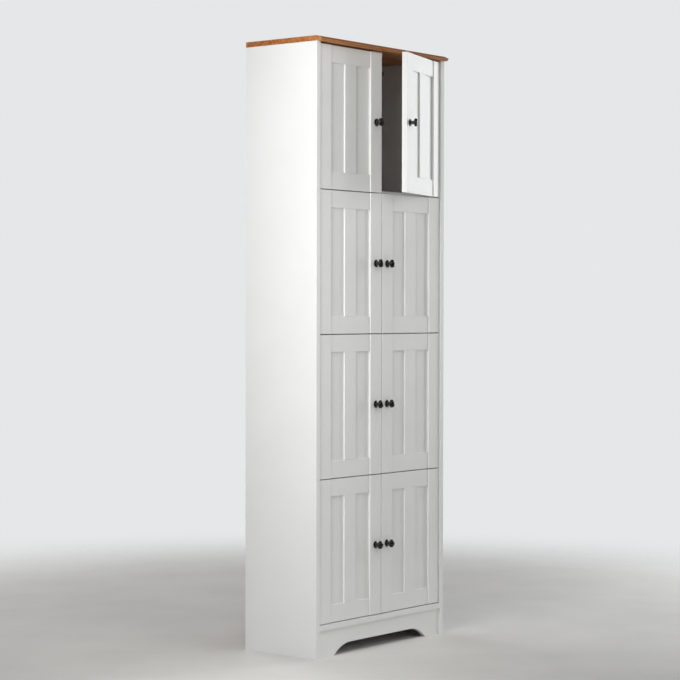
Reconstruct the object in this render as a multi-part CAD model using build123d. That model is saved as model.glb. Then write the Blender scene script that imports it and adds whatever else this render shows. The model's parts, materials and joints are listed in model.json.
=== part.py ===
"""Tall pantry cabinet: four tiers of paired inset doors between two side panels.

Frame: millimetres. +X to the right as one faces the doors, +Y towards the wall, +Z up.
Origin: mid-width, on the floor, in the plane of the back that stands against the wall.
"""
import os

from build123d import *

# ---------------------------------------------------------------- driving sizes
OVERALL_HEIGHT = 1829.0         # floor to the top of the top panel
CARCASS_WIDTH = 640.0           # over the two side panels
SIDE_DEPTH = 275.0              # back plane to the front edge of a side panel
SIDE_THICK = 16.0               # side panel board
SHELF_THICK = 16.0              # shelf and bottom board
TOP_THICK = 16.0                # top board
TOP_OVERHANG = 18.0             # top panel's nose beyond the side panels' front edge
NOSE_FALL_RUN = 24.5            # length of the moulding's fall, from the upper arris to the nose
NOSE_FALL = 9.0                 # and its drop
NOSE_FALL_CROWN = 2.2           # how far the fall swells above a straight line
NOSE_HEIGHT = 3.2               # round nose below the fall
NOSE_ROUND = 1.5                # how far the nose stands out past both its ends
QUIRK_DEPTH = 2.2               # step back under the nose
TIERS = 4                       # tiers of doors

# plinth
BOTTOM_Z = 81.0                 # underside of the bottom panel
APRON_THICK = 16.0
APRON_SETBACK = 4.5             # apron face behind the side panels' front edge
RAIL_THICK = 16.0               # rear base rail
ARCH_HEIGHT = 33.0              # clear height under the apron
ARCH_FOOT = 72.5                # length of floor contact at each end of the apron
ARCH_RUN = 81.5                 # length of the curve from the floor to the flat of the arch

# back
BACK_THICK = 3.0
BACK_LAP = 8.0                  # how far a back sheet laps onto the sides, bottom and top
BACK_PLAY = 0.5                 # clearance at the edges of the back sheets

# doors
DOOR_GAP = 3.0                  # between doors, and above the bottom panel
DOOR_TOP_GAP = 5.0              # above the top doors
HINGE_GAP = 2.5                 # between a door's hinge edge and the side panel
DOOR_RECESS = 4.0               # stile face behind the side panels' front edge
PANEL_THICK = 9.0               # backing panel of a door
STILE_PROUD = 7.0               # stile face in front of the backing panel
RAIL_PROUD = 4.5                # rail and mullion face in front of the backing panel
STILE_WIDTH = 54.0
RAIL_WIDTH = 51.0
MULLION_WIDTH = 54.0
AJAR_ANGLE = 16.5               # the upper right door as stored, in degrees

# shelves
SHELF_DOOR_CLEAR = 3.0          # behind the doors, so that their back corners clear as they turn

# knob
KNOB_PROJECTION = 25.0          # from the stile face to the crown
KNOB_HEAD_D = 25.0
KNOB_HEAD_WIDEST = 18.5         # height of the widest plane above the stile face
KNOB_CROWN_FULLNESS = 0.55      # 0.55 makes the crown's curve a quarter of an ellipse; more is fuller
KNOB_FLANGE_D = 22.5
KNOB_FLANGE_RIM = 1.8           # height of the flange's straight rim
KNOB_NECK_D = 11.5
KNOB_NECK_LOW = 4.2             # the neck starts at this height above the stile face
KNOB_NECK_HIGH = 12.8           # and flares from here into the head
KNOB_SCREW_D = 4.0
KNOB_SCREW_DEPTH = 12.0         # thread engaged in the knob
KNOB_SCREW_HEAD_D = 8.0
KNOB_SCREW_HEAD_THICK = 2.2

# hinge
PIN_INSET = 6.0                 # pin axis from the door's hinge edge
PIN_BEHIND_FACE = 5.0           # pin axis behind the stile face
PIN_D = 2.5
PIN_PLAY = 0.05                 # radial running clearance of the knuckle on its pin
KNUCKLE_D = 5.2
KNUCKLE_HEIGHT = 16.0
HINGE_PLATE_THICK = 1.5         # sheet of the door bracket
BRACKET_HALF = 24.0             # half height of the door bracket
BRACKET_PLAY = 0.5              # bracket to the ends of its notch
CHEEK_CLEAR = 0.3               # knuckle to each cheek
CHEEK_EDGE = 4.8                # cheek past the pin axis towards the hinge edge
CHEEK_BACK = 6.0                # and towards the door's back
NOTCH_SKIN = 2.0                # stile left in front of the notch
NOTCH_INNER = 4.9               # notch wall beyond the pin axis, away from the hinge edge
ARM_THICK = 2.0
ARM_STRAIGHT_R = 16.5           # the arm runs straight back from the pin to this distance
ARM_HEIGHT = 14.0
ARM_PLATE_THICK = 2.0
ARM_PLATE_LENGTH = 36.0
ARM_PLATE_HEIGHT = 44.0
ARM_SCREW_SPACING = 30.0        # between the two screws of an arm plate
HINGE_FROM_END = 62.0           # hinge centre from the top and bottom edges of a door

# fixing screws, all alike
SCREW_D = 3.5
SCREW_LENGTH = 12.0
SCREW_HEAD_D = 6.6
SCREW_HEAD_THICK = 1.6
SCREW_CROSS_LENGTH = 4.0        # cross recess in the head
SCREW_CROSS_WIDTH = 0.8
SCREW_CROSS_DEPTH = 0.8

# magnetic catch and strike
CATCH_WIDTH = 46.0
CATCH_DEPTH = 16.0              # front block that holds the magnets
CATCH_HEIGHT = 14.0
CATCH_TAB_DEPTH = 12.0          # screw tab behind the block
CATCH_TAB_THICK = 3.0
CATCH_SCREW_X = 15.0            # tab screws from the middle
MAGNET_DROP = 9.5               # magnet centre below the board that holds the catch
MAGNET_WIDTH = 15.0
MAGNET_HEIGHT = 6.0
MAGNET_DEPTH = 8.0
MAGNET_FROM_CENTRE = 12.0
STRIKE_WIDTH = 15.0
STRIKE_HEIGHT = 8.0
STRIKE_THICK = 1.0
STRIKE_GAP = 0.3                # strike to the catch's face
STRIKE_STUD_D = 3.0             # stud pressed into the door
STRIKE_STUD_LENGTH = 6.0

# knock-down fittings
CAM_D = 15.0
CAM_DEPTH = 12.0
CAM_FROM_END = 24.0             # cam axis from the end of its board
CAM_SLOT_WIDTH = 1.6            # cross slot in the cam's face
CAM_SLOT_LENGTH = 9.0
CAM_SLOT_DEPTH = 2.0
CAM_BOLT_D = 7.0
CAM_BOLT_NECK_D = 4.4
CAM_BOLT_HEAD_LENGTH = 3.0
CAM_POCKET_CLEAR = 0.3          # bolt head to the cam's pocket
CAM_BOLT_IN_SIDE = 11.0         # thread in the neighbouring board
DOWEL_D = 8.0
DOWEL_LENGTH = 30.0
DOWEL_IN_SIDE = 11.0
CAM_FROM_EDGE = 40.0            # cam bolts from the front and back edges of a board
DOWEL_FROM_CAM = 32.0
PLINTH_CAM_Z = 56.0             # height of the fittings in the apron and the rear rail
PLINTH_DOWEL_Z = 24.0

# back nails
NAIL_D = 1.4
NAIL_LENGTH = 18.0
NAIL_HEAD_D = 4.0
NAIL_HEAD_THICK = 0.5
NAIL_PITCH = 150.0
NAIL_FROM_CORNER = 50.0         # first and last nail of a row from the ends of the row

# wall brackets
BRACKET_SPACING = 400.0         # between the two wall brackets
WALL_LEG = 32.0                 # length of each leg of the angle
WALL_HOLE_FROM_CORNER = 20.0    # holes in both legs, from the angle's corner
WALL_BRACKET_WIDTH = 20.0
WALL_BRACKET_THICK = 2.0
WALL_HOLE_D = 5.0

CUT_PAST = 1.0                  # how far a cutting block runs out past the face it opens

# ---------------------------------------------------------------- worked-out places
HALF_W = CARCASS_WIDTH / 2
INNER_HALF = HALF_W - SIDE_THICK
SIDE_HEIGHT = OVERALL_HEIGHT - TOP_THICK
BOTTOM_TOP_Z = BOTTOM_Z + SHELF_THICK
FRONT_Y = -SIDE_DEPTH
APRON_FACE_Y = FRONT_Y + APRON_SETBACK
STILE_FACE_Y = FRONT_Y + DOOR_RECESS
PANEL_FACE_Y = STILE_FACE_Y + STILE_PROUD
RAIL_FACE_Y = PANEL_FACE_Y - RAIL_PROUD
DOOR_BACK_Y = PANEL_FACE_Y + PANEL_THICK
SHELF_FRONT_Y = DOOR_BACK_Y + SHELF_DOOR_CLEAR
DOOR_PITCH = (SIDE_HEIGHT - BOTTOM_TOP_Z - DOOR_TOP_GAP) / TIERS
DOOR_HEIGHT = DOOR_PITCH - DOOR_GAP
DOOR_FREE_X = DOOR_GAP / 2
DOOR_HINGE_X = INNER_HALF - HINGE_GAP
PIN_X = DOOR_HINGE_X - PIN_INSET
PIN_Y = STILE_FACE_Y + PIN_BEHIND_FACE
KNOB_X = DOOR_FREE_X + STILE_WIDTH / 2
SHELF_Z = [BOTTOM_TOP_Z + DOOR_GAP / 2 + DOOR_PITCH * n - SHELF_THICK / 2 for n in range(1, TIERS)]
SHELF_NAMES = ["shelf_lower", "shelf_middle", "shelf_upper"]
TIER_NAMES = ["bottom", "lower", "upper", "top"]
CEILINGS = SHELF_Z + [SIDE_HEIGHT]
SIDES = {"left": -1, "right": 1}
MIDDLE_SHELF_Z = SHELF_Z[1] + SHELF_THICK / 2
CHEEK_Z = KNUCKLE_HEIGHT / 2 + CHEEK_CLEAR
BACK_REACH = BACK_LAP - BACK_PLAY
UP = (0, 0, 1)
DOWN = (0, 0, -1)


def block(x0, x1, y0, y1, z0, z1):
    """Box between two corners, given in any order."""
    size = (abs(x1 - x0), abs(y1 - y0), abs(z1 - z0))
    return Pos((x0 + x1) / 2, (y0 + y1) / 2, (z0 + z1) / 2) * Box(*size)


def rod(start, direction, radius, length):
    """Round bar from a point along a direction."""
    plane = Plane(origin=start, z_dir=direction)
    return plane * Pos(0, 0, length / 2) * Cylinder(radius, length)


def reverse(direction):
    """The opposite direction."""
    return tuple(-d for d in direction)


def along(point, direction, distance):
    """Point at a distance from another along a direction."""
    return tuple(p + d * distance for p, d in zip(point, direction))


def solids_of(items):
    """Flat list of the solids in a list of shapes."""
    return [solid for item in items for solid in item.solids()]


# ---------------------------------------------------------------- fittings
fixing_screws = []
cam_locks = []
cam_bolts = []
dowels = []
drillings = {}


def drill(node, tool):
    """Note a hole to be made in a board."""
    drillings.setdefault(node, []).append(tool)


def screw(seat, direction, node):
    """Pan-head screw whose head stands on the seat; it drills the board it holds in."""
    plane = Plane(origin=seat, z_dir=reverse(direction))
    slot = Box(SCREW_CROSS_LENGTH, SCREW_CROSS_WIDTH, 2 * SCREW_CROSS_DEPTH)
    body = rod(seat, reverse(direction), SCREW_HEAD_D / 2, SCREW_HEAD_THICK)
    body += rod(seat, direction, SCREW_D / 2, SCREW_LENGTH)
    for turn in (0, 90):
        body -= plane * Pos(0, 0, SCREW_HEAD_THICK) * Rot(0, 0, turn) * slot
    drill(node, rod(seat, direction, SCREW_D / 2, SCREW_LENGTH))
    return body


def cam_joint(board, neighbour, end, out, face, thick):
    """Cam lock and its bolt. end: point in mid-thickness on the board's end; out: into the
    neighbour; face: towards the face that the cam is set in; thick: the board's thickness."""
    axis_point = along(end, reverse(out), CAM_FROM_END)
    cam_face = along(axis_point, face, thick / 2)
    cam_blank = rod(cam_face, reverse(face), CAM_D / 2, CAM_DEPTH)
    pocket_r = CAM_BOLT_D / 2 + CAM_POCKET_CLEAR
    pocket_end = along(axis_point, reverse(out), CAM_BOLT_HEAD_LENGTH / 2 + CAM_POCKET_CLEAR)
    pocket = rod(pocket_end, out, pocket_r, CAM_D)
    plane = Plane(origin=cam_face, z_dir=face)
    cam = cam_blank - pocket
    for turn in (45, 135):
        cam -= plane * Rot(0, 0, turn) * Box(CAM_SLOT_LENGTH, CAM_SLOT_WIDTH, 2 * CAM_SLOT_DEPTH)
    shank_length = CAM_FROM_END - CAM_D / 2
    bolt = rod(along(end, reverse(out), shank_length), out, CAM_BOLT_D / 2,
               shank_length + CAM_BOLT_IN_SIDE)
    bolt += rod(axis_point, out, CAM_BOLT_NECK_D / 2, CAM_D / 2)
    head_start = along(axis_point, reverse(out), CAM_BOLT_HEAD_LENGTH / 2)
    bolt += rod(head_start, out, CAM_BOLT_D / 2, CAM_BOLT_HEAD_LENGTH)
    cam_locks.append(cam)
    cam_bolts.append(bolt)
    drill(board, cam_blank)
    drill(board, rod(axis_point, out, CAM_BOLT_D / 2, CAM_FROM_END))
    drill(neighbour, rod(end, out, CAM_BOLT_D / 2, CAM_BOLT_IN_SIDE))


def dowel(board, neighbour, end, out):
    """Dowel across the joint of a board's end and its neighbour."""
    start = along(end, out, DOWEL_IN_SIDE)
    pin = rod(start, reverse(out), DOWEL_D / 2, DOWEL_LENGTH)
    dowels.append(pin)
    drill(board, pin)
    drill(neighbour, pin)


# shelves and bottom panel into the sides
shelf_like = dict(zip(SHELF_NAMES, SHELF_Z))
shelf_like["bottom_panel"] = BOTTOM_Z
for name, low_z in shelf_like.items():
    mid_z = low_z + SHELF_THICK / 2
    front_cam_y = SHELF_FRONT_Y + CAM_FROM_EDGE
    back_cam_y = -BACK_THICK - CAM_FROM_EDGE
    for side, sign in SIDES.items():
        for y in (front_cam_y, back_cam_y):
            cam_joint(name, side + "_side", (sign * INNER_HALF, y, mid_z), (sign, 0, 0), DOWN, SHELF_THICK)
        for y in (front_cam_y + DOWEL_FROM_CAM, back_cam_y - DOWEL_FROM_CAM):
            dowel(name, side + "_side", (sign * INNER_HALF, y, mid_z), (sign, 0, 0))

# sides up into the top panel
side_mid = INNER_HALF + SIDE_THICK / 2
for side, sign in SIDES.items():
    for y in (FRONT_Y + CAM_FROM_EDGE, -CAM_FROM_EDGE):
        side_top = (sign * side_mid, y, SIDE_HEIGHT)
        cam_joint(side + "_side", "top_panel", side_top, UP, (-sign, 0, 0), SIDE_THICK)
    for y in (FRONT_Y + CAM_FROM_EDGE + DOWEL_FROM_CAM, -CAM_FROM_EDGE - DOWEL_FROM_CAM):
        dowel(side + "_side", "top_panel", (sign * side_mid, y, SIDE_HEIGHT), UP)

# apron and rear base rail into the sides
plinth = {
    "toe_apron": (APRON_FACE_Y + APRON_THICK / 2, (0, 1, 0), APRON_THICK),
    "rear_base_rail": (-RAIL_THICK / 2, (0, -1, 0), RAIL_THICK),
}
for name, (mid_y, face, thick) in plinth.items():
    for side, sign in SIDES.items():
        cam_joint(name, side + "_side", (sign * INNER_HALF, mid_y, PLINTH_CAM_Z), (sign, 0, 0), face, thick)
        dowel(name, side + "_side", (sign * INNER_HALF, mid_y, PLINTH_DOWEL_Z), (sign, 0, 0))


# ---------------------------------------------------------------- doors
def knob_body(axis_point):
    """Turned knob: round flange, waisted neck and a domed head, on an axis towards the front."""
    flange_r = KNOB_FLANGE_D / 2
    neck_r = KNOB_NECK_D / 2
    head_r = KNOB_HEAD_D / 2
    rim = (head_r, KNOB_HEAD_WIDEST)
    crown = (0, KNOB_PROJECTION)
    above_rim = (head_r, KNOB_HEAD_WIDEST + KNOB_CROWN_FULLNESS * (KNOB_PROJECTION - KNOB_HEAD_WIDEST))
    beside_crown = (head_r * KNOB_CROWN_FULLNESS, KNOB_PROJECTION)
    outline = Polyline(crown, (0, 0), (flange_r, 0), (flange_r, KNOB_FLANGE_RIM), (neck_r, KNOB_NECK_LOW),
                       (neck_r, KNOB_NECK_HIGH), rim)
    profile = make_face(outline + Bezier(rim, above_rim, beside_crown, crown))
    return Pos(axis_point) * Rot(180, 0, 0) * revolve(profile, Axis.Y)


def hinge_set(sign, z, door):
    """Door half of one concealed hinge: bracket in the edge notch, its pin and two screws."""
    plate_x = PIN_X - NOTCH_INNER
    plate_face_x = plate_x + HINGE_PLATE_THICK
    cheek_x = PIN_X + CHEEK_EDGE
    front_y = STILE_FACE_Y + NOTCH_SKIN + BRACKET_PLAY / 2
    cheek_end = CHEEK_Z + HINGE_PLATE_THICK
    bracket = block(sign * plate_x, sign * plate_face_x, front_y, DOOR_BACK_Y,
                    z - BRACKET_HALF, z + BRACKET_HALF)
    for low in (-cheek_end, CHEEK_Z):
        bracket += block(sign * plate_x, sign * cheek_x, front_y, PIN_Y + CHEEK_BACK,
                         z + low, z + low + HINGE_PLATE_THICK)
    pin = rod((sign * PIN_X, PIN_Y, z - cheek_end), UP, PIN_D / 2, 2 * cheek_end)
    pieces = [pin]
    screw_z = (cheek_end + BRACKET_HALF) / 2
    for offset in (-screw_z, screw_z):
        seat = (sign * plate_face_x, (PANEL_FACE_Y + DOOR_BACK_Y) / 2, z + offset)
        pieces.append(screw(seat, (-sign, 0, 0), door))
    return [bracket - pieces] + pieces


def hinge_notch(sign, z):
    """Pocket in the door's hinge edge, open at the edge and at the back."""
    half = BRACKET_HALF + BRACKET_PLAY
    return block(sign * (PIN_X - NOTCH_INNER), sign * (DOOR_HINGE_X + CUT_PAST),
                 STILE_FACE_Y + NOTCH_SKIN, DOOR_BACK_Y + CUT_PAST, z - half, z + half)


def door_pieces(stem, sign, low_z, ceiling):
    """The pieces of one closed door."""
    high_z = low_z + DOOR_HEIGHT
    mid_z = (low_z + high_z) / 2
    inner_free = DOOR_FREE_X + STILE_WIDTH
    inner_hinge = DOOR_HINGE_X - STILE_WIDTH
    middle = (DOOR_FREE_X + DOOR_HINGE_X) / 2
    panel = block(sign * DOOR_FREE_X, sign * DOOR_HINGE_X, PANEL_FACE_Y, DOOR_BACK_Y, low_z, high_z)
    strips = [
        block(sign * DOOR_FREE_X, sign * inner_free, STILE_FACE_Y, PANEL_FACE_Y, low_z, high_z),
        block(sign * inner_hinge, sign * DOOR_HINGE_X, STILE_FACE_Y, PANEL_FACE_Y, low_z, high_z),
        block(sign * inner_free, sign * inner_hinge, RAIL_FACE_Y, PANEL_FACE_Y, low_z, low_z + RAIL_WIDTH),
        block(sign * inner_free, sign * inner_hinge, RAIL_FACE_Y, PANEL_FACE_Y, high_z - RAIL_WIDTH, high_z),
        block(sign * (middle - MULLION_WIDTH / 2), sign * (middle + MULLION_WIDTH / 2), RAIL_FACE_Y,
              PANEL_FACE_Y, low_z + RAIL_WIDTH, high_z - RAIL_WIDTH),
    ]
    hinges = []
    notches = []
    for z in (low_z + HINGE_FROM_END, high_z - HINGE_FROM_END):
        hinges += hinge_set(sign, z, stem)
        notches.append(hinge_notch(sign, z))

    knob_seat = (sign * KNOB_X, STILE_FACE_Y, mid_z)
    screw_length = DOOR_BACK_Y - STILE_FACE_Y + KNOB_SCREW_DEPTH
    knob_shank = rod((sign * KNOB_X, DOOR_BACK_Y, mid_z), (0, -1, 0), KNOB_SCREW_D / 2, screw_length)
    knob_screw = knob_shank + rod((sign * KNOB_X, DOOR_BACK_Y, mid_z), (0, 1, 0), KNOB_SCREW_HEAD_D / 2,
                                  KNOB_SCREW_HEAD_THICK)
    knob = knob_body(knob_seat) - knob_shank

    strike_z = ceiling - MAGNET_DROP
    strike_x = sign * MAGNET_FROM_CENTRE
    stud = rod((strike_x, DOOR_BACK_Y, strike_z), (0, -1, 0), STRIKE_STUD_D / 2, STRIKE_STUD_LENGTH)
    strike = block(strike_x - STRIKE_WIDTH / 2, strike_x + STRIKE_WIDTH / 2, DOOR_BACK_Y,
                   DOOR_BACK_Y + STRIKE_THICK, strike_z - STRIKE_HEIGHT / 2, strike_z + STRIKE_HEIGHT / 2)

    board_cuts = notches + [knob_shank, stud] + drillings[stem]
    return {
        "panel": [panel - board_cuts],
        "frame": [strip - (notches + [knob_shank]) for strip in strips],
        "hinges": hinges,
        "knob": [knob, knob_screw],
        "strike": [strike + stud],
    }


def hinge_arm(sign, z, side_node):
    """Carcass half of one concealed hinge: knuckle, arm that runs straight back, and screwed plate."""
    back_y = PIN_Y + ARM_STRAIGHT_R
    plate_y = back_y - ARM_THICK
    half = ARM_HEIGHT / 2
    arm = rod((sign * PIN_X, PIN_Y, z - KNUCKLE_HEIGHT / 2), UP, KNUCKLE_D / 2, KNUCKLE_HEIGHT)
    arm += block(sign * PIN_X - ARM_THICK / 2, sign * PIN_X + ARM_THICK / 2, PIN_Y, back_y,
                 z - half, z + half)
    arm += block(sign * PIN_X, sign * INNER_HALF, plate_y, back_y, z - half, z + half)
    arm += block(sign * (INNER_HALF - ARM_PLATE_THICK), sign * INNER_HALF, plate_y,
                 plate_y + ARM_PLATE_LENGTH, z - ARM_PLATE_HEIGHT / 2, z + ARM_PLATE_HEIGHT / 2)
    bore = rod((sign * PIN_X, PIN_Y, z - KNUCKLE_HEIGHT), UP, PIN_D / 2 + PIN_PLAY, 2 * KNUCKLE_HEIGHT)
    seat_x = sign * (INNER_HALF - ARM_PLATE_THICK)
    seat_y = plate_y + ARM_PLATE_LENGTH / 2
    screws = [screw((seat_x, seat_y, z + turn * ARM_SCREW_SPACING / 2), (sign, 0, 0), side_node)
              for turn in (-1, 1)]
    fixing_screws.extend(screws)
    return arm - ([bore] + screws)


nodes = {}
hinge_arms = []
for tier, tier_name in enumerate(TIER_NAMES):
    low_z = BOTTOM_TOP_Z + DOOR_GAP + DOOR_PITCH * tier
    for side, sign in SIDES.items():
        stem = "door_" + tier_name + "_" + side
        pieces = door_pieces(stem, sign, low_z, CEILINGS[tier])
        ajar = AJAR_ANGLE if (tier_name, side) == ("top", "right") else 0
        pin_axis = Axis((sign * PIN_X, PIN_Y, 0), (0, 0, sign))
        for piece_name, solids in pieces.items():
            nodes[stem + "_" + piece_name] = [solid.rotate(pin_axis, ajar) for solid in solids_of(solids)]
        for z in (low_z + HINGE_FROM_END, low_z + DOOR_HEIGHT - HINGE_FROM_END):
            hinge_arms.append(hinge_arm(sign, z, side + "_side"))
nodes["hinge_arms"] = hinge_arms

# ---------------------------------------------------------------- catches under the shelves and the top
cases = []
magnets = []
ceiling_nodes = SHELF_NAMES + ["top_panel"]
catch_y = DOOR_BACK_Y + STRIKE_THICK + STRIKE_GAP
for ceiling_node, ceiling in zip(ceiling_nodes, CEILINGS):
    tab_y = catch_y + CATCH_DEPTH
    half = CATCH_WIDTH / 2
    case = block(-half, half, catch_y, tab_y, ceiling - CATCH_HEIGHT, ceiling)
    case += block(-half, half, tab_y, tab_y + CATCH_TAB_DEPTH, ceiling - CATCH_TAB_THICK, ceiling)
    inside = []
    for sign in SIDES.values():
        magnet_x = sign * MAGNET_FROM_CENTRE
        inside.append(block(magnet_x - MAGNET_WIDTH / 2, magnet_x + MAGNET_WIDTH / 2, catch_y,
                            catch_y + MAGNET_DEPTH, ceiling - MAGNET_DROP - MAGNET_HEIGHT / 2,
                            ceiling - MAGNET_DROP + MAGNET_HEIGHT / 2))
    magnets += inside
    seat_y = tab_y + CATCH_TAB_DEPTH / 2
    screws = [screw((sign * CATCH_SCREW_X, seat_y, ceiling - CATCH_TAB_THICK), UP, ceiling_node)
              for sign in SIDES.values()]
    fixing_screws += screws
    cases.append(case - (inside + screws))
nodes["catch_cases"] = cases
nodes["catch_magnets"] = magnets

# ---------------------------------------------------------------- wall brackets, against tipping
brackets = []
wall_holes = []
for sign in SIDES.values():
    x = sign * BRACKET_SPACING / 2
    half = WALL_BRACKET_WIDTH / 2
    seat_z = SIDE_HEIGHT - WALL_BRACKET_THICK
    flat = block(x - half, x + half, -BACK_THICK - WALL_LEG, -BACK_THICK, seat_z, SIDE_HEIGHT)
    upright = block(x - half, x + half, -BACK_THICK - WALL_BRACKET_THICK, -BACK_THICK,
                    SIDE_HEIGHT - WALL_LEG, SIDE_HEIGHT)
    hole_z = SIDE_HEIGHT - WALL_HOLE_FROM_CORNER
    hole = rod((x, -BACK_THICK - WALL_LEG, hole_z), (0, 1, 0), WALL_HOLE_D / 2, 2 * WALL_LEG)
    held = screw((x, -BACK_THICK - WALL_HOLE_FROM_CORNER, seat_z), UP, "top_panel")
    fixing_screws.append(held)
    brackets.append(flat + upright - [hole, held])
    wall_holes.append(hole)
nodes["wall_brackets"] = brackets

# ---------------------------------------------------------------- back sheets and their nails
sheet_half = INNER_HALF + BACK_REACH
sheet_low = BOTTOM_TOP_Z - BACK_REACH
sheet_high = SIDE_HEIGHT + BACK_REACH
lower_sheet = block(-sheet_half, sheet_half, -BACK_THICK, 0, sheet_low, MIDDLE_SHELF_Z - BACK_PLAY)
upper_sheet = block(-sheet_half, sheet_half, -BACK_THICK, 0, MIDDLE_SHELF_Z + BACK_PLAY, sheet_high)

nails = []


def nail_row(points, sheet_node, board_node):
    """Nails through a back sheet into the board behind it, heads flush with the sheet."""
    for x, z in points:
        shank = rod((x, 0, z), (0, -1, 0), NAIL_D / 2, NAIL_LENGTH)
        nail = shank + rod((x, 0, z), (0, -1, 0), NAIL_HEAD_D / 2, NAIL_HEAD_THICK)
        nails.append(nail)
        drill(sheet_node, nail)
        drill(board_node, shank)


def spread(low, high, pitch):
    """Evenly spaced places from one end to the other, about a pitch apart."""
    count = max(2, round((high - low) / pitch) + 1)
    return [low + (high - low) * n / (count - 1) for n in range(count)]


half_lap = BACK_REACH / 2
row_x = spread(-INNER_HALF + NAIL_FROM_CORNER, INNER_HALF - NAIL_FROM_CORNER, NAIL_PITCH)
sheet_rows = {
    "back_panel_lower": [
        (sheet_low + half_lap, "bottom_panel"),
        (SHELF_Z[0] + SHELF_THICK / 2, "shelf_lower"),
        (MIDDLE_SHELF_Z - half_lap, "shelf_middle"),
    ],
    "back_panel_upper": [
        (MIDDLE_SHELF_Z + half_lap, "shelf_middle"),
        (SHELF_Z[2] + SHELF_THICK / 2, "shelf_upper"),
        (sheet_high - half_lap, "top_panel"),
    ],
}
for sheet_node, rows in sheet_rows.items():
    for z, board_node in rows:
        nail_row([(x, z) for x in row_x], sheet_node, board_node)
    side_z = spread(rows[0][0] + NAIL_FROM_CORNER, rows[-1][0] - NAIL_FROM_CORNER, NAIL_PITCH)
    for side, sign in SIDES.items():
        nail_row([(sign * (INNER_HALF + half_lap), z) for z in side_z], sheet_node, side + "_side")
nodes["back_nails"] = nails

# ---------------------------------------------------------------- boards
nodes["back_panel_lower"] = [lower_sheet - drillings["back_panel_lower"]]
nodes["back_panel_upper"] = [upper_sheet - (drillings["back_panel_upper"] + wall_holes)]

for name, low_z in zip(SHELF_NAMES, SHELF_Z):
    shelf = block(-INNER_HALF, INNER_HALF, SHELF_FRONT_Y, -BACK_THICK, low_z, low_z + SHELF_THICK)
    nodes[name] = [shelf - drillings[name]]

bottom = block(-INNER_HALF, INNER_HALF, FRONT_Y, -BACK_THICK, BOTTOM_Z, BOTTOM_TOP_Z)
nodes["bottom_panel"] = [bottom - drillings["bottom_panel"]]

for side, sign in SIDES.items():
    board = block(sign * INNER_HALF, sign * HALF_W, FRONT_Y, 0, 0, SIDE_HEIGHT)
    rebate = block(sign * (INNER_HALF - CUT_PAST), sign * (INNER_HALF + BACK_LAP), -BACK_THICK, CUT_PAST,
                   BOTTOM_TOP_Z - BACK_LAP, SIDE_HEIGHT + CUT_PAST)
    nodes[side + "_side"] = [board - ([rebate] + drillings[side + "_side"])]

rail = block(-INNER_HALF, INNER_HALF, -RAIL_THICK, 0, 0, BOTTOM_Z)
nodes["rear_base_rail"] = [rail - drillings["rear_base_rail"]]

foot_x = INNER_HALF - ARCH_FOOT
flat_x = foot_x - ARCH_RUN
apron = block(-INNER_HALF, INNER_HALF, APRON_FACE_Y, APRON_FACE_Y + APRON_THICK, 0, BOTTOM_Z)
arch_right = TangentArc((flat_x, ARCH_HEIGHT), (foot_x, 0), tangent=(1, 0))
arch_left = mirror(arch_right, about=Plane.YZ)
arch_top = Line((-flat_x, ARCH_HEIGHT), (flat_x, ARCH_HEIGHT))
arch_line = arch_right + arch_left + arch_top + Line((-foot_x, 0), (foot_x, 0))
arch_face = Plane.XZ.offset(-APRON_FACE_Y - APRON_THICK - CUT_PAST) * make_face(arch_line)
arch = extrude(arch_face, APRON_THICK + 2 * CUT_PAST)
nodes["toe_apron"] = [apron - ([arch] + drillings["toe_apron"])]

# top panel: flat board with a fall, a round nose and a quirk along its front edge
nose_y = FRONT_Y - TOP_OVERHANG + NOSE_ROUND
arris_y = nose_y + NOSE_FALL_RUN
fall_z = OVERALL_HEIGHT - NOSE_FALL
nose_z = fall_z - NOSE_HEIGHT
fall_mid = ((arris_y + nose_y) / 2, OVERALL_HEIGHT - NOSE_FALL / 2 + NOSE_FALL_CROWN)
edge_line = ThreePointArc((arris_y, OVERALL_HEIGHT), fall_mid, (nose_y, fall_z))
edge_line += ThreePointArc((nose_y, fall_z), (nose_y - NOSE_ROUND, (fall_z + nose_z) / 2), (nose_y, nose_z))
edge_line += Polyline((nose_y, nose_z), (nose_y + QUIRK_DEPTH, nose_z), (nose_y + QUIRK_DEPTH, SIDE_HEIGHT),
                      (0, SIDE_HEIGHT), (0, OVERALL_HEIGHT), (arris_y, OVERALL_HEIGHT))
top = extrude(Plane.YZ.offset(-HALF_W) * make_face(edge_line), CARCASS_WIDTH)
rebate_half = INNER_HALF + BACK_LAP
top_rebate = block(-rebate_half, rebate_half, -BACK_THICK, CUT_PAST, SIDE_HEIGHT - CUT_PAST,
                   SIDE_HEIGHT + BACK_LAP)
nodes["top_panel"] = [top - ([top_rebate] + drillings["top_panel"])]

nodes["fixing_screws"] = fixing_screws
nodes["cam_locks"] = cam_locks
nodes["cam_bolts"] = cam_bolts
nodes["dowels"] = dowels

# ---------------------------------------------------------------- one file per piece
os.makedirs("parts", exist_ok=True)
for name, solids in nodes.items():
    export_step(Compound(children=solids_of(solids)), "parts/" + name + ".step")
    print(name, len(solids_of(solids)))
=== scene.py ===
import json
import math

import bmesh
import bpy
from mathutils import Matrix, Vector


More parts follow.
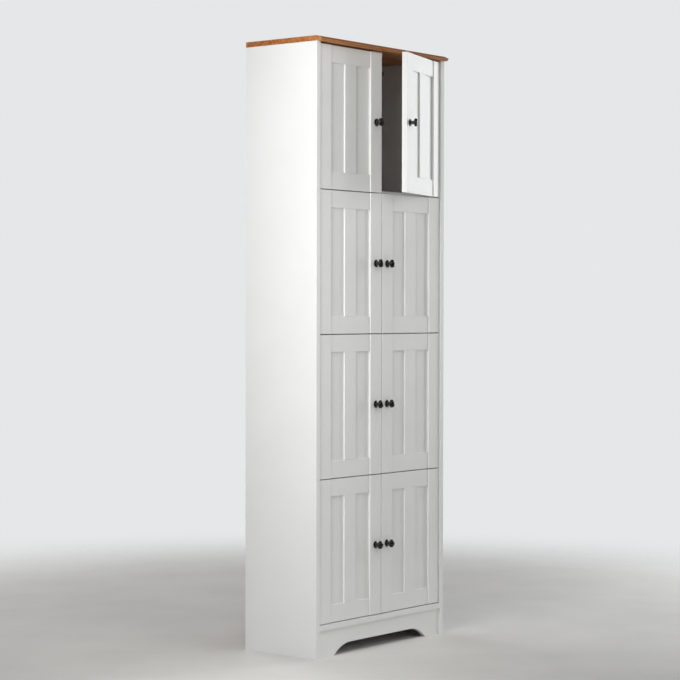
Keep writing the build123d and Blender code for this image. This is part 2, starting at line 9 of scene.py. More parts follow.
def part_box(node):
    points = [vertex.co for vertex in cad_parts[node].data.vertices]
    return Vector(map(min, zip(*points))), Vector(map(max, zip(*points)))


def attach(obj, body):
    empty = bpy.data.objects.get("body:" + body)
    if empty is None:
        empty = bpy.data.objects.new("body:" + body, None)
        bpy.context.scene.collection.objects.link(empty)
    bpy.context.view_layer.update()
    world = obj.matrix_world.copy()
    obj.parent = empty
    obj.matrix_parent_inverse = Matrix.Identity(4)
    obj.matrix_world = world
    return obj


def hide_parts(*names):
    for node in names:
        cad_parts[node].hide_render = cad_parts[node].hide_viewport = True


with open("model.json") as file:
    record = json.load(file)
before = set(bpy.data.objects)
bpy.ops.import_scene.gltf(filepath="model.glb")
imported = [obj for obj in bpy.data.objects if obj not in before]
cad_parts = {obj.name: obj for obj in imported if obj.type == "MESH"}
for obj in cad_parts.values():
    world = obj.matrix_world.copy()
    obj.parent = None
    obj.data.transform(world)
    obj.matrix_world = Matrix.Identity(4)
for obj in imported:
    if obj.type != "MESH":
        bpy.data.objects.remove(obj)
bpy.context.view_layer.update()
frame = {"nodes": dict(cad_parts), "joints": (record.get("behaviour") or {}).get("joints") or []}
nodes = frame["nodes"]
joints = {joint["child"]: joint for joint in frame["joints"]}
MM = 0.001

# ------------------------------------------------------------------ white boards of the carcass
# Sides, shelves, bottom and toe parts are sawn from 16 mm chipboard faced with white melamine
# paper. Their front edges are banded with the same white, their rear edges stay raw, and every
# sawn arris is eased.
BOARDS = ["left_side", "right_side", "shelf_upper", "shelf_middle", "shelf_lower", "bottom_panel"]
PLINTH = ["toe_apron", "rear_base_rail"]
BOARD_ARRIS = 0.5 * MM
WELD = 0.001 * MM
BAND_THICK = 1.0 * MM
BAND_JOINT = 0.12 * MM
MELAMINE_WHITE = "#F2F2F2"
MELAMINE_SHADE = "#F0F0EF"
GLUE_LINE = "#C9C5BB"
CHIP_LIGHT = "#D9B98A"
CHIP_MID = "#B99468"
CHIP_DARK = "#8E6B43"
PEBBLE = 1.1 * MM
CHIP = 2.2 * MM
CLOUD = 140 * MM
EDGE_ANGLE = math.radians(40)
FACE_ON = 0.8


def linear(colour):
    """Linear RGBA of an sRGB hex colour."""
    channels = [int(colour[i:i + 2], 16) / 255 for i in (1, 3, 5)]
    return [c / 12.92 if c <= 0.04045 else ((c + 0.055) / 1.055) ** 2.4 for c in channels] + [1.0]


def add(tree, kind, inputs=None, stops=(), **settings):
    """Adds a node with its settings and colour stops; an input is a value, hex colour or socket."""
    node = tree.nodes.new(kind)
    for name, value in settings.items():
        setattr(node, name, value)
    for number, (position, colour) in enumerate(stops):
        elements = node.color_ramp.elements
        element = elements[number] if number < len(elements) else elements.new(position)
        element.position = position
        element.color = linear(colour)
    for name, value in (inputs or {}).items():
        if isinstance(value, bpy.types.NodeSocket):
            tree.links.new(value, node.inputs[name])
        else:
            node.inputs[name].default_value = linear(value) if isinstance(value, str) else value
    return node.outputs


def new_finish(name):
    """A material with an empty tree and the place on the object, in metres."""
    material = bpy.data.materials.new(name)
    material.use_nodes = True
    tree = material.node_tree
    tree.nodes.clear()
    return material, tree, add(tree, "ShaderNodeTexCoord")["Object"]


def dress(node_name, material, arris=0.0, segments=3):
    """Gives a carried-over CAD node its finish and eases its arrises."""
    node = nodes[node_name]
    node.data.materials.clear()
    node.data.materials.append(material)
    if arris:
        weld = node.modifiers.new("joined_facets", "WELD")
        weld.merge_threshold = WELD
        ease = node.modifiers.new("eased_arris", "BEVEL")
        ease.width = arris
        ease.segments = segments
        ease.limit_method = "ANGLE"
        ease.angle_limit = EDGE_ANGLE
        ease.harden_normals = True
    return node


def melamine(name, front_y):
    """Paper-faced chipboard; a board whose front edge is given is banded there and raw behind."""
    # The press plate leaves an even soft white with a satin pebble. A hair-thin glue line shows
    # behind the band, and the rear edge shows its sawn chips.
    material, tree, place = new_finish(name)
    cloud = add(tree, "ShaderNodeTexNoise", {"Vector": place, "Scale": 1 / CLOUD, "Detail": 3.0})["Fac"]
    whites = [(0.35, MELAMINE_SHADE), (0.65, MELAMINE_WHITE)]
    tone = add(tree, "ShaderNodeValToRGB", {"Fac": cloud}, whites)["Color"]
    gloss = add(tree, "ShaderNodeMapRange", {"Value": cloud, "To Min": 0.37, "To Max": 0.41})["Result"]
    pebble = add(tree, "ShaderNodeTexNoise", {"Vector": place, "Scale": 1 / PEBBLE, "Detail": 2.0})["Fac"]
    bump = add(tree, "ShaderNodeBump", {"Height": pebble, "Strength": 0.06, "Distance": 0.2 * MM})["Normal"]
    if front_y is not None:
        depth = add(tree, "ShaderNodeSeparateXYZ", {"Vector": place})["Y"]
        past = add(tree, "ShaderNodeMath", {0: depth, 1: -front_y - BAND_THICK}, operation="ADD")["Value"]
        off = add(tree, "ShaderNodeMath", {0: past}, operation="ABSOLUTE")["Value"]
        joint = add(tree, "ShaderNodeMath", {0: off, 1: BAND_JOINT}, operation="LESS_THAN")["Value"]
        glued = {"Factor": joint, "A": tone, "B": GLUE_LINE}
        tone = add(tree, "ShaderNodeMix", glued, data_type="RGBA")["Result"]
        facing = add(tree, "ShaderNodeNewGeometry")["True Normal"]
        rear = add(tree, "ShaderNodeSeparateXYZ", {"Vector": facing})["Y"]
        is_rear = add(tree, "ShaderNodeMath", {0: rear, 1: FACE_ON}, operation="GREATER_THAN")["Value"]
        chips = add(tree, "ShaderNodeTexVoronoi", {"Vector": place, "Scale": 1 / CHIP})["Color"]
        tint = add(tree, "ShaderNodeSeparateColor", {"Color": chips})["Red"]
        woods = [(0.0, CHIP_DARK), (1.0, CHIP_LIGHT), (0.45, CHIP_MID)]
        raw = add(tree, "ShaderNodeValToRGB", {"Fac": tint}, woods)["Color"]
        sawn = {"Factor": is_rear, "A": tone, "B": raw}
        tone = add(tree, "ShaderNodeMix", sawn, data_type="RGBA")["Result"]
        gloss = add(tree, "ShaderNodeMix", {"Factor": is_rear, "A": gloss, "B": 0.85})["Result"]
    skin = {"Base Color": tone, "Roughness": gloss, "IOR": 1.5, "Normal": bump}
    shader = add(tree, "ShaderNodeBsdfPrincipled", skin)["BSDF"]
    add(tree, "ShaderNodeOutputMaterial", {"Surface": shader})
    return material


def front_of(name):
    """Front edge of a CAD node, as its depth."""
    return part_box(name)[0].y


banded = {
    front: melamine("pressed_melamine_banded_%d" % number, front)
    for number, front in enumerate(sorted({round(front_of(name), 6) for name in BOARDS}))
}
for name in BOARDS:
    dress(name, banded[round(front_of(name), 6)], BOARD_ARRIS)
plinth_board = melamine("pressed_melamine_plain", None)
for name in PLINTH:
    dress(name, plinth_board, BOARD_ARRIS)

# ------------------------------------------------------------------ knock-down fittings
# Zinc cam locks set flush in the boards draw steel bolts tight, and beech dowels line the
# joints up. Only the cams' crossed faces show, under the shelves and behind the apron.
CAST_GRAIN = 0.5 * MM
FINE = 0.35 * MM
PLATE_BLOOM = 4.0 * MM
BEECH_FLECK = 1.5 * MM


def metal(name, colours, grain, rough, relief):
    """Cast or plated metal whose tone and shine vary over its grain."""
    material, tree, place = new_finish(name)
    bloom = add(tree, "ShaderNodeTexNoise", {"Vector": place, "Scale": 1 / grain, "Detail": 4.0})["Fac"]
    tone = add(tree, "ShaderNodeValToRGB", {"Fac": bloom}, list(zip((0.3, 0.7), colours)))["Color"]
    shine = {"Value": bloom, "To Min": rough - 0.07, "To Max": rough + 0.09}
    gloss = add(tree, "ShaderNodeMapRange", shine)["Result"]
    fine = add(tree, "ShaderNodeTexNoise", {"Vector": place, "Scale": 1 / FINE, "Detail": 2.0})["Fac"]
    pitted = {"Height": fine, "Strength": relief, "Distance": 0.1 * MM}
    bump = add(tree, "ShaderNodeBump", pitted)["Normal"]
    skin = {"Base Color": tone, "Roughness": gloss, "Metallic": 1.0, "Normal": bump}
    shader = add(tree, "ShaderNodeBsdfPrincipled", skin)["BSDF"]
    add(tree, "ShaderNodeOutputMaterial", {"Surface": shader})
    return material


# The die leaves zinc dull grey with a little grain.
cast_zinc = metal("die_cast_zinc", ("#8F8F8C", "#A9A9A6"), CAST_GRAIN, 0.42, 0.3)
# The plating bath leaves steel bright, cloudy from blue-white to a faint straw.
zinc_plate = metal("zinc_plated_steel", ("#C3CACE", "#D0CDC2"), PLATE_BLOOM, 0.28, 0.08)
dress("cam_locks", cast_zinc, 0.25 * MM, 2)
dress("cam_bolts", zinc_plate)

# Turning leaves beech pale and matt, flecked with short rays.
beech, tree, place = new_finish("turned_beech")
fleck = add(tree, "ShaderNodeTexNoise", {"Vector": place, "Scale": 1 / BEECH_FLECK, "Detail": 3.0})["Fac"]
tone = add(tree, "ShaderNodeValToRGB", {"Fac": fleck}, [(0.3, "#C9A06C"), (0.7, "#DDBB8B")])["Color"]
bump = add(tree, "ShaderNodeBump", {"Height": fleck, "Strength": 0.2, "Distance": 0.1 * MM})["Normal"]
skin = {"Base Color": tone, "Roughness": 0.6, "Normal": bump}
shader = add(tree, "ShaderNodeBsdfPrincipled", skin)["BSDF"]
add(tree, "ShaderNodeOutputMaterial", {"Surface": shader})
dress("dowels", beech)

# ------------------------------------------------------------------ back sheets and nails
# Two sheets of 3 mm hardboard close the back, painted white inside and left brown behind. They
# lie in rebates in the sides and the top, held by flat-headed nails, which also go into the
# shelves.
SCREEN = 2.0 * MM
FIBRE = 3.0 * MM
PULP = 45 * MM
ROLLER = 1.6 * MM
PAINT_WHITE = "#EAE9E5"
FELT_LIGHT = "#A88259"
FELT_MID = "#8A653F"
FELT_DARK = "#694729"

# Behind, the wet felt dries a mottled brown with the press screen's mesh, drawn at 2 mm for a real
# 1 mm so that it shows. Inside, the paint roller leaves a stippled, slightly warm white.
sheet, tree, place = new_finish("rolled_paint_on_hardboard")
facing = add(tree, "ShaderNodeNewGeometry")["True Normal"]
forward = add(tree, "ShaderNodeSeparateXYZ", {"Vector": facing})["Y"]
inside = add(tree, "ShaderNodeMath", {0: forward, 1: -FACE_ON}, operation="LESS_THAN")["Value"]
fibre = add(tree, "ShaderNodeTexNoise", {"Vector": place, "Scale": 1 / FIBRE, "Detail": 6.0})["Fac"]
pulp = add(tree, "ShaderNodeTexNoise", {"Vector": place, "Scale": 1 / PULP, "Detail": 3.0})["Fac"]
felt = add(tree, "ShaderNodeMix", {"Factor": 0.45, "A": fibre, "B": pulp})["Result"]
browns = [(0.35, FELT_DARK), (0.65, FELT_LIGHT), (0.5, FELT_MID)]
brown = add(tree, "ShaderNodeValToRGB", {"Fac": felt}, browns)["Color"]
painted = {"Factor": inside, "A": brown, "B": PAINT_WHITE}
tone = add(tree, "ShaderNodeMix", painted, data_type="RGBA")["Result"]
wires = {"Vector": place, "Scale": math.pi / (10 * SCREEN)}
across = add(tree, "ShaderNodeTexWave", wires, bands_direction="X")["Fac"]
up = add(tree, "ShaderNodeTexWave", wires, bands_direction="Z")["Fac"]
screen = add(tree, "ShaderNodeMath", {0: across, 1: up}, operation="MULTIPLY")["Value"]
stipple = add(tree, "ShaderNodeTexNoise", {"Vector": place, "Scale": 1 / ROLLER, "Detail": 1.0})["Fac"]
relief = add(tree, "ShaderNodeMix", {"Factor": inside, "A": screen, "B": stipple})["Result"]
bump = add(tree, "ShaderNodeBump", {"Height": relief, "Strength": 0.35, "Distance": 0.2 * MM})["Normal"]
gloss = add(tree, "ShaderNodeMix", {"Factor": inside, "A": 0.7, "B": 0.5})["Result"]
skin = {"Base Color": tone, "Roughness": gloss, "Normal": bump}
shader = add(tree, "ShaderNodeBsdfPrincipled", skin)["BSDF"]
add(tree, "ShaderNodeOutputMaterial", {"Surface": shader})
for name in ("back_panel_upper", "back_panel_lower"):
    dress(name, sheet, 0.2 * MM, 1)
dress("back_nails", zinc_plate)

# ------------------------------------------------------------------ top panel
# One MDF board with its front edge run on a spindle moulder: a long fall, a round nose and a
# quirk over a flat bead. Oak-printed foil wraps its faces and ends, and a stopped rebate behind
# takes the back sheet.
FALL_POINTS = 14
NOSE_POINTS = 8
CRISP_ANGLE = math.radians(38)
END_ARRIS = 0.7 * MM
NOSE_FALL = 9.0 * MM
NOSE_HEIGHT = 3.2 * MM
NOSE_ROUND = 1.5 * MM
QUIRK_DEPTH = 2.2 * MM
QUIRK_FALL = 0.3 * MM
SHEET_PLAY = 0.5 * MM
FALL_RUN = 24.5 * MM
FALL_CROWN = 2.2 * MM
RING_WIDTH = 9.0 * MM
RING_LENGTH = 700 * MM
PORE_WIDTH = 0.9 * MM
PORE_LENGTH = 22.0 * MM
OAK_LIGHT = "#C2834C"
OAK_MID = "#AD6C38"
OAK_DARK = "#8E5428"
OAK_PORE = "#6A3F20"


def as_piece(name, mesh):
    """Object from a bmesh, with outward faces and smooth rounds between crisp arrises."""
    bmesh.ops.recalc_face_normals(mesh, faces=mesh.faces)
    data = bpy.data.meshes.new(name)
    mesh.to_mesh(data)
    mesh.free()
    data.shade_smooth()
    data.set_sharp_from_angle(angle=CRISP_ANGLE)
    piece = bpy.data.objects.new(name, data)
    bpy.context.scene.collection.objects.link(piece)
    return piece


def run_moulding(name, sections):
    """Board through (x, inset, outline) sections; an inset draws a section in towards its middle."""
    mesh = bmesh.new()
    rings = []
    for x, inset, outline in sections:
        centre = Vector((sum(p[0] for p in outline), sum(p[1] for p in outline))) / len(outline)
        ring = []
        for y, z in outline:
            reach = Vector((y, z)) - centre
            drawn_y = y - math.copysign(min(inset, abs(reach.x)), reach.x)
            drawn_z = z - math.copysign(min(inset, abs(reach.y)), reach.y)
            ring.append(mesh.verts.new((x, drawn_y, drawn_z)))
        rings.append(ring)
    count = len(rings[0])
    for ring, after in zip(rings, rings[1:]):
        for i in range(count):
            mesh.faces.new((ring[i], ring[(i + 1) % count], after[(i + 1) % count], after[i]))
    mesh.faces.new(rings[0][::-1])
    mesh.faces.new(rings[-1])
    bmesh.ops.remove_doubles(mesh, verts=mesh.verts, dist=WELD)
    return as_piece(name, mesh)


low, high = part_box("top_panel")
nose_y = low.y + NOSE_ROUND
arris_y = nose_y + FALL_RUN
fall_z = high.z - NOSE_FALL
bead_y = nose_y + QUIRK_DEPTH
sheet_low, sheet_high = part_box("back_panel_upper")
rebate_y = sheet_low.y
rebate_z = sheet_high.z + SHEET_PLAY
rebate_x = sheet_high.x + SHEET_PLAY
outline = [(high.y, high.z - END_ARRIS), (high.y - END_ARRIS, high.z)]
for i in range(FALL_POINTS + 1):
    share = i / FALL_POINTS
    swell = FALL_CROWN * 4 * share * (1 - share)
    outline.append((arris_y - FALL_RUN * share, high.z - NOSE_FALL * share + swell))
for i in range(1, NOSE_POINTS):
    turn = math.pi * i / NOSE_POINTS
    outline.append((nose_y - NOSE_ROUND * math.sin(turn), fall_z - NOSE_HEIGHT * (1 - math.cos(turn)) / 2))
outline += [(nose_y, fall_z - NOSE_HEIGHT), (bead_y, fall_z - NOSE_HEIGHT - QUIRK_FALL),
            (bead_y, low.z + END_ARRIS), (bead_y + END_ARRIS, low.z), (rebate_y, low.z)]
whole = outline + [(high.y, low.z), (high.y, rebate_z)]
rebated = outline + [(rebate_y, rebate_z), (high.y, rebate_z)]
left_half = [(low.x, END_ARRIS, whole), (low.x + END_ARRIS * 0.3, END_ARRIS * 0.3, whole),
             (low.x + END_ARRIS, 0.0, whole), (-rebate_x, 0.0, whole), (-rebate_x, 0.0, rebated)]
top = run_moulding("top_board", left_half + [(-x, inset, shape) for x, inset, shape in reversed(left_half)])

# The print gives honey oak, its rings drawn out along the board and its pores dark; the rolled-in
# grain breaks the satin sheen into fine streaks.
oak, tree, place = new_finish("printed_oak_foil")
drawn = add(tree, "ShaderNodeMapping", {"Vector": place, "Scale": (0.9, 1.0, 1.0)})["Vector"]
wander = add(tree, "ShaderNodeTexNoise", {"Vector": drawn, "Scale": 3.0, "Detail": 2.0})["Fac"]
ring_scale = (1 / RING_LENGTH, 1 / RING_WIDTH, 1 / RING_WIDTH)
slow = add(tree, "ShaderNodeMapping", {"Vector": place, "Scale": ring_scale})["Vector"]
drift = {"Vector": slow, "Scale": 1.0, "Detail": 4.0, "Distortion": 0.8}
rings = add(tree, "ShaderNodeTexNoise", drift)["Fac"]
pore_scale = (1 / PORE_LENGTH, 1 / PORE_WIDTH, 1 / PORE_WIDTH)
quick = add(tree, "ShaderNodeMapping", {"Vector": place, "Scale": pore_scale})["Vector"]
pores = add(tree, "ShaderNodeTexNoise", {"Vector": quick, "Scale": 1.0, "Detail": 3.0})["Fac"]
figure = add(tree, "ShaderNodeMix", {"Factor": 0.3, "A": rings, "B": wander})["Result"]
honeys = [(0.38, OAK_DARK), (0.62, OAK_LIGHT), (0.49, OAK_MID)]
tone = add(tree, "ShaderNodeValToRGB", {"Fac": figure}, honeys)["Color"]
opening = {"Value": pores, "From Min": 0.58, "From Max": 0.72, "To Max": 0.55}
open_pore = add(tree, "ShaderNodeMapRange", opening)["Result"]
pored = {"Factor": open_pore, "A": tone, "B": OAK_PORE}
inked = add(tree, "ShaderNodeMix", pored, data_type="RGBA")["Result"]
gloss = add(tree, "ShaderNodeMapRange", {"Value": pores, "To Min": 0.36, "To Max": 0.5})["Result"]
bump = add(tree, "ShaderNodeBump", {"Height": pores, "Strength": 0.15, "Distance": -0.15 * MM})["Normal"]
skin = {"Base Color": inked, "Roughness": gloss, "Specular IOR Level": 0.35, "Normal": bump}
shader = add(tree, "ShaderNodeBsdfPrincipled", skin)["BSDF"]
add(tree, "ShaderNodeOutputMaterial", {"Surface": shader})
top.data.materials.append(oak)
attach(top, "carcass")
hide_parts("top_panel")

# ------------------------------------------------------------------ doors
# Each door is a 9 mm MDF panel with two stiles, two rails and a centre mullion planted on it, the
# stiles proudest. All of it is wrapped in white foil, drawn down by vacuum, which rounds every
# arris.
TIERS = ["bottom", "lower", "upper", "top"]
DOORS = ["door_" + tier + "_" + side for tier in TIERS for side in ("left", "right")]
PANEL_ARRIS = 0.6 * MM
FRAME_ARRIS = 0.8 * MM
PEEL = 1.6 * MM
DOOR_CLOUD = 90 * MM
FOIL_WHITE = "#F2F2F2"
FOIL_SHADE = "#F0F0EF"

# Vacuum pressing gives a soft satin white with a faint orange-peel and no joint lines.
foil, tree, place = new_finish("vacuum_pressed_white_foil")
cloud = add(tree, "ShaderNodeTexNoise", {"Vector": place, "Scale": 1 / DOOR_CLOUD, "Detail": 4.0})["Fac"]
tone = add(tree, "ShaderNodeValToRGB", {"Fac": cloud}, [(0.35, FOIL_SHADE), (0.65, FOIL_WHITE)])["Color"]
gloss = add(tree, "ShaderNodeMapRange", {"Value": cloud, "To Min": 0.38, "To Max": 0.42})["Result"]
peel = add(tree, "ShaderNodeTexNoise", {"Vector": place, "Scale": 1 / PEEL, "Detail": 1.5})["Fac"]
bump = add(tree, "ShaderNodeBump", {"Height": peel, "Strength": 0.08, "Distance": 0.3 * MM})["Normal"]
skin = {"Base Color": tone, "Roughness": gloss, "IOR": 1.47, "Normal": bump}
shader = add(tree, "ShaderNodeBsdfPrincipled", skin)["BSDF"]
add(tree, "ShaderNodeOutputMaterial", {"Surface": shader})
for door in DOORS:
    dress(door + "_panel", foil, PANEL_ARRIS)
    dress(door + "_frame", foil, FRAME_ARRIS)

# ------------------------------------------------------------------ knobs
# Turned steel mushroom knobs, sprayed black: a flange, a waisted neck and a low dome. A machine
# screw holds each one from behind, and its pan head shows on the open door.
KNOB_OUTLINE = [(0.0, 0.0), (10.7, 0.0), (11.25, 0.0), (11.25, 0.6), (11.25, 1.8), (9.6, 2.7), (6.6, 3.6),
                (5.4, 6.0), (5.4, 11.5), (6.4, 14.4), (12.5, 15.8), (12.5, 19.9), (10.6, 22.2), (7.0, 24.0),
                (3.4, 24.8), (0.0, 24.8)]
KNOB_PROJECTION = 25.0 * MM
HEAD_OUTLINE = [(2.0, 0.0), (3.7, 0.0), (4.0, 0.0), (4.0, 0.5), (4.0, 1.7), (2.6, 2.1)]
RECESS_REACH = 1.9
RECESS_HALF = 0.45
RECESS_DEPTH = 1.3
RECESS_TAPER = 0.6
KNOB_SIDES = 64
HEAD_SIDES = 32
SPATTER = 0.8 * MM


def turned(mesh, outline, sides):
    """Rounds a (radius, height) outline in millimetres, turns it round Z and gives its rings."""
    profile = outline
    for _ in range(2):
        halves = [((3 * a[0] + b[0]) / 4, (3 * a[1] + b[1]) / 4) for a, b in zip(profile, profile[1:])]
        others = [((a[0] + 3 * b[0]) / 4, (a[1] + 3 * b[1]) / 4) for a, b in zip(profile, profile[1:])]
        middle = [point for pair in zip(halves, others) for point in pair][1:-1]
        profile = [profile[0]] + middle + [profile[-1]]
    turns = [2 * math.pi * i / sides for i in range(sides)]
    rings = []
    for radius, height in profile:
        round_it = turns if radius else turns[:1]
        rings.append([mesh.verts.new((radius * MM * math.cos(a), radius * MM * math.sin(a), height * MM))
                      for a in round_it])
    for ring, after in zip(rings, rings[1:]):
        for i in range(sides):
            j = (i + 1) % sides
            below = [ring[i % len(ring)], ring[j % len(ring)]]
            above = [after[j % len(after)], after[i % len(after)]]
            mesh.faces.new(list(dict.fromkeys(below + above)))
    return rings


def cross_recess(mesh, rim, height):
    """Closes a screw head inside its rim ring with a flat crown and a tapering cross recess."""
    a, b = RECESS_REACH, RECESS_HALF
    arm = [(a, -b), (a, b), (b, b)]
    plan = [(x * c - y * s, x * s + y * c) for c, s in ((1, 0), (0, 1), (-1, 0), (0, -1)) for x, y in arm]
    mouth = [mesh.verts.new((x * MM, y * MM, height * MM)) for x, y in plan]
    pit = [mesh.verts.new((x * RECESS_TAPER * MM, y * RECESS_TAPER * MM, (height - RECESS_DEPTH) * MM))
           for x, y in plan]
    loop = [mesh.edges.new((mouth[i], mouth[(i + 1) % len(mouth)])) for i in range(len(mouth))]
    outer = [mesh.edges.get((rim[i], rim[(i + 1) % len(rim)])) for i in range(len(rim))]
    bmesh.ops.triangle_fill(mesh, edges=loop + outer, use_beauty=True)
    for i in range(len(plan)):
        j = (i + 1) % len(plan)
        mesh.faces.new((mouth[i], pit[i], pit[j], mouth[j]))
    mesh.faces.new(pit)


def shut_box(door, piece):
    """Box of a door's piece with the door shut: the left-hand door of the tier, mirrored."""
    low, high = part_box(door.replace("right", "left") + "_" + piece)
    if door.endswith("left"):
        return low, high
    return Vector((-high.x, low.y, low.z)), Vector((-low.x, high.y, high.z))


def hang(mesh, name, door, place, direction):
    """Makes a piece of a mesh, set on the shut door, swung to where the door stands, and rides it."""
    joint = joints[door]
    pivot = Vector(joint["pos_m"])
    swing = Matrix.Rotation(math.radians(-joint["range_deg"][0]), 4, Vector(joint["axis"]))
    aim = Vector(direction).to_track_quat("Z", "X").to_matrix().to_4x4()
    opened = Matrix.Translation(pivot) @ swing @ Matrix.Translation(-pivot)
    mesh.transform(opened @ Matrix.Translation(place) @ aim)
    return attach(as_piece(name, mesh), door)


# Sprayed enamel gives a deep satin black with a tight highlight and the faintest spatter.
enamel, tree, place = new_finish("sprayed_black_enamel")
spatter = add(tree, "ShaderNodeTexNoise", {"Vector": place, "Scale": 1 / SPATTER, "Detail": 2.0})["Fac"]
tone = add(tree, "ShaderNodeValToRGB", {"Fac": spatter}, [(0.3, "#060607"), (0.7, "#0D0D0E")])["Color"]
gloss = add(tree, "ShaderNodeMapRange", {"Value": spatter, "To Min": 0.16, "To Max": 0.26})["Result"]
bump = add(tree, "ShaderNodeBump", {"Height": spatter, "Strength": 0.12, "Distance": 0.1 * MM})["Normal"]
skin = {"Base Color": tone, "Roughness": gloss, "IOR": 1.52, "Normal": bump}
shader = add(tree, "ShaderNodeBsdfPrincipled", skin)["BSDF"]
add(tree, "ShaderNodeOutputMaterial", {"Surface": shader})
for door in DOORS:
    low, high = shut_box(door, "knob")
    middle = (low + high) / 2
    door_back = shut_box(door, "panel")[1].y
    mesh = bmesh.new()
    turned(mesh, KNOB_OUTLINE, KNOB_SIDES)
    seat = (middle.x, low.y + KNOB_PROJECTION, middle.z)
    knob = hang(mesh, door + "_knob_turned", door, seat, (0, -1, 0))
    knob.data.materials.append(enamel)
    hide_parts(door + "_knob")
    mesh = bmesh.new()
    rings = turned(mesh, HEAD_OUTLINE, HEAD_SIDES)
    cross_recess(mesh, rings[-1], HEAD_OUTLINE[-1][1])
    mesh.faces.new(rings[0][::-1])
    head = hang(mesh, door + "_knob_screw", door, (middle.x, door_back, middle.z), (0, 1, 0))
    head.data.materials.append(zinc_plate)

# ------------------------------------------------------------------ hinges, catches and wall brackets
# Hinge plates, arms, strikes and wall angles are pressed from sheet steel, zinc plated, and held
# by pan-head screws. Each catch is a moulded ABS shell round two ferrite blocks.
PRESSED = ["hinge_arms", "wall_brackets"]
PRESSED += [door + part for door in DOORS for part in ("_hinges", "_strike")]
SHEARED_ARRIS = 0.2 * MM
SCREW_ARRIS = 0.3 * MM
SHELL_ARRIS = 0.5 * MM
SPARK = 0.5 * MM
SINTER = 0.6 * MM
for name in PRESSED:
    dress(name, zinc_plate, SHEARED_ARRIS, 2)
dress("fixing_screws", zinc_plate, SCREW_ARRIS, 2)

# The spark-eroded mould gives ABS a fine even grain, a little warmer than the boards.
shell, tree, place = new_finish("moulded_white_abs")
spark = add(tree, "ShaderNodeTexNoise", {"Vector": place, "Scale": 1 / SPARK, "Detail": 3.0})["Fac"]
tone = add(tree, "ShaderNodeValToRGB", {"Fac": spark}, [(0.3, "#DFDED9"), (0.7, "#E9E8E4")])["Color"]
bump = add(tree, "ShaderNodeBump", {"Height": spark, "Strength": 0.25, "Distance": 0.1 * MM})["Normal"]
skin = {"Base Color": tone, "Roughness": 0.45, "IOR": 1.54, "Normal": bump}
shader = add(tree, "ShaderNodeBsdfPrincipled", skin)["BSDF"]
add(tree, "ShaderNodeOutputMaterial", {"Surface": shader})
dress("catch_cases", shell, SHELL_ARRIS)

# Sintering leaves ferrite charcoal grey, matt and gritty.
ferrite, tree, place = new_finish("sintered_ferrite")
grit = add(tree, "ShaderNodeTexNoise", {"Vector": place, "Scale": 1 / SINTER, "Detail": 4.0})["Fac"]
tone = add(tree, "ShaderNodeValToRGB", {"Fac": grit}, [(0.35, "#232325"), (0.7, "#3A3A3D")])["Color"]
bump = add(tree, "ShaderNodeBump", {"Height": grit, "Strength": 0.4, "Distance": 0.1 * MM})["Normal"]
skin = {"Base Color": tone, "Roughness": 0.62, "IOR": 1.6, "Normal": bump}
shader = add(tree, "ShaderNodeBsdfPrincipled", skin)["BSDF"]
add(tree, "ShaderNodeOutputMaterial", {"Surface": shader})
dress("catch_magnets", ferrite, SHEARED_ARRIS, 2)

# ------------------------------------------------------------------ studio
# A pale floor that fades out into a pale surround. A near soft light stands front left, a broad
# one to the right, a wide fill in front, a weak one overhead, and one for the back.
FLOOR_SOLID = 1.3
FLOOR_END = 3.2
FLOOR_PALE = "#D8D7D4"
FLOOR_SHADE = "#D1D0CD"
SCREED = 0.25
SURROUND = "#E6E7E8"
SURROUND_LIGHT = 0.06

mesh = bmesh.new()
bmesh.ops.create_circle(mesh, cap_ends=True, segments=96, radius=FLOOR_END)
floor = as_piece("studio_floor", mesh)
# Trowelling leaves a matt, barely clouded grey-white.
pale, tree, place = new_finish("trowelled_pale_screed")
blot = add(tree, "ShaderNodeTexNoise", {"Vector": place, "Scale": 1 / SCREED, "Detail": 5.0})["Fac"]
tone = add(tree, "ShaderNodeValToRGB", {"Fac": blot}, [(0.3, FLOOR_SHADE), (0.7, FLOOR_PALE)])["Color"]
shader = add(tree, "ShaderNodeBsdfPrincipled", {"Base Color": tone, "Roughness": 0.7})["BSDF"]
clear = add(tree, "ShaderNodeBsdfTransparent")["BSDF"]
reach = add(tree, "ShaderNodeVectorMath", {0: place}, operation="LENGTH")["Value"]
fade = add(tree, "ShaderNodeMapRange", {"Value": reach, "From Min": FLOOR_SOLID, "From Max": FLOOR_END},
           interpolation_type="SMOOTHERSTEP")["Result"]
faded = add(tree, "ShaderNodeMixShader", {0: fade, 1: shader, 2: clear})["Shader"]
add(tree, "ShaderNodeOutputMaterial", {"Surface": faded})
floor.data.materials.append(pale)

world = bpy.data.worlds.new("studio")
world.use_nodes = True
tree = world.node_tree
tree.nodes.clear()
seen = add(tree, "ShaderNodeLightPath")["Is Camera Ray"]
glow = add(tree, "ShaderNodeMapRange", {"Value": seen, "To Min": SURROUND_LIGHT, "To Max": 1.0})["Result"]
sky = add(tree, "ShaderNodeBackground", {"Color": SURROUND, "Strength": glow})["Background"]
add(tree, "ShaderNodeOutputWorld", {"Surface": sky})
bpy.context.scene.world = world


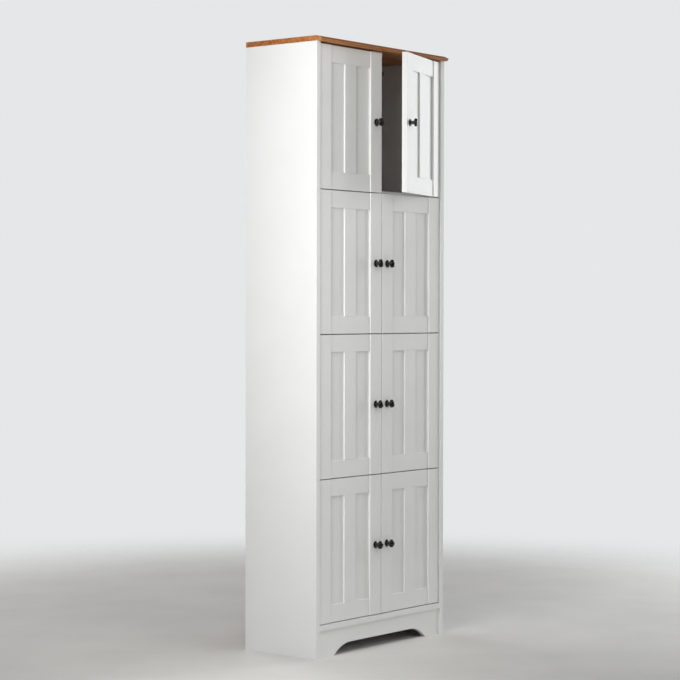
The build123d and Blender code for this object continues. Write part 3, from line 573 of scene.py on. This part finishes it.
def area_light(name, place, target, width, height, watts, colour):
    """Soft rectangular light aimed at a point."""
    light = bpy.data.lights.new(name, "AREA")
    light.shape = "RECTANGLE"
    light.size = width
    light.size_y = height
    light.energy = watts
    light.color = linear(colour)[:3]
    lamp = bpy.data.objects.new(name, light)
    lamp.location = place
    lamp.rotation_euler = (Vector(target) - Vector(place)).to_track_quat("-Z", "Y").to_euler()
    lamp.visible_camera = False
    bpy.context.scene.collection.objects.link(lamp)


area_light("near_left", place=(-1.12, -0.53, 1.3), target=(-0.32, -0.2, 1.15),
           width=0.6, height=2.0, watts=14.5, colour="#FFFFFF")
area_light("right", place=(3.0, -1.0, 1.5), target=(0.2, -0.3, 0.95),
           width=1.6, height=2.4, watts=60, colour="#FBFCFF")
area_light("front_fill", place=(-0.6, -4.5, 2.6), target=(0.0, -0.3, 0.9),
           width=3.0, height=2.4, watts=31, colour="#FFFFF2")
area_light("overhead", place=(0.0, -1.5, 4.2), target=(0.0, -0.3, 0.9),
           width=3.0, height=3.0, watts=20, colour="#FFFFFF")
area_light("behind", place=(0.4, 3.4, 2.0), target=(0.0, 0.0, 0.9),
           width=2.4, height=2.0, watts=60, colour="#FFFFFF")

bpy.context.scene.view_settings.view_transform = "Standard"
CAMERA_PLACE = (-4.941, -4.0085, 1.032)
YAW = math.radians(51.72)
PITCH = math.radians(-0.901)
ROLL = math.radians(0.099)
LENS = 107.52
camera_data = bpy.data.cameras.new("camera")
camera_data.lens = LENS
camera = bpy.data.objects.new("camera", camera_data)
forward = Vector((math.sin(YAW) * math.cos(PITCH), math.cos(YAW) * math.cos(PITCH), math.sin(PITCH)))
level = Vector((math.cos(YAW), -math.sin(YAW), 0.0))
upright = level.cross(forward)
right = level * math.cos(ROLL) + upright * math.sin(ROLL)
up = upright * math.cos(ROLL) - level * math.sin(ROLL)
camera.matrix_world = Matrix.Translation(CAMERA_PLACE) @ Matrix((right, up, -forward)).transposed().to_4x4()
bpy.context.scene.collection.objects.link(camera)
bpy.context.scene.camera = camera
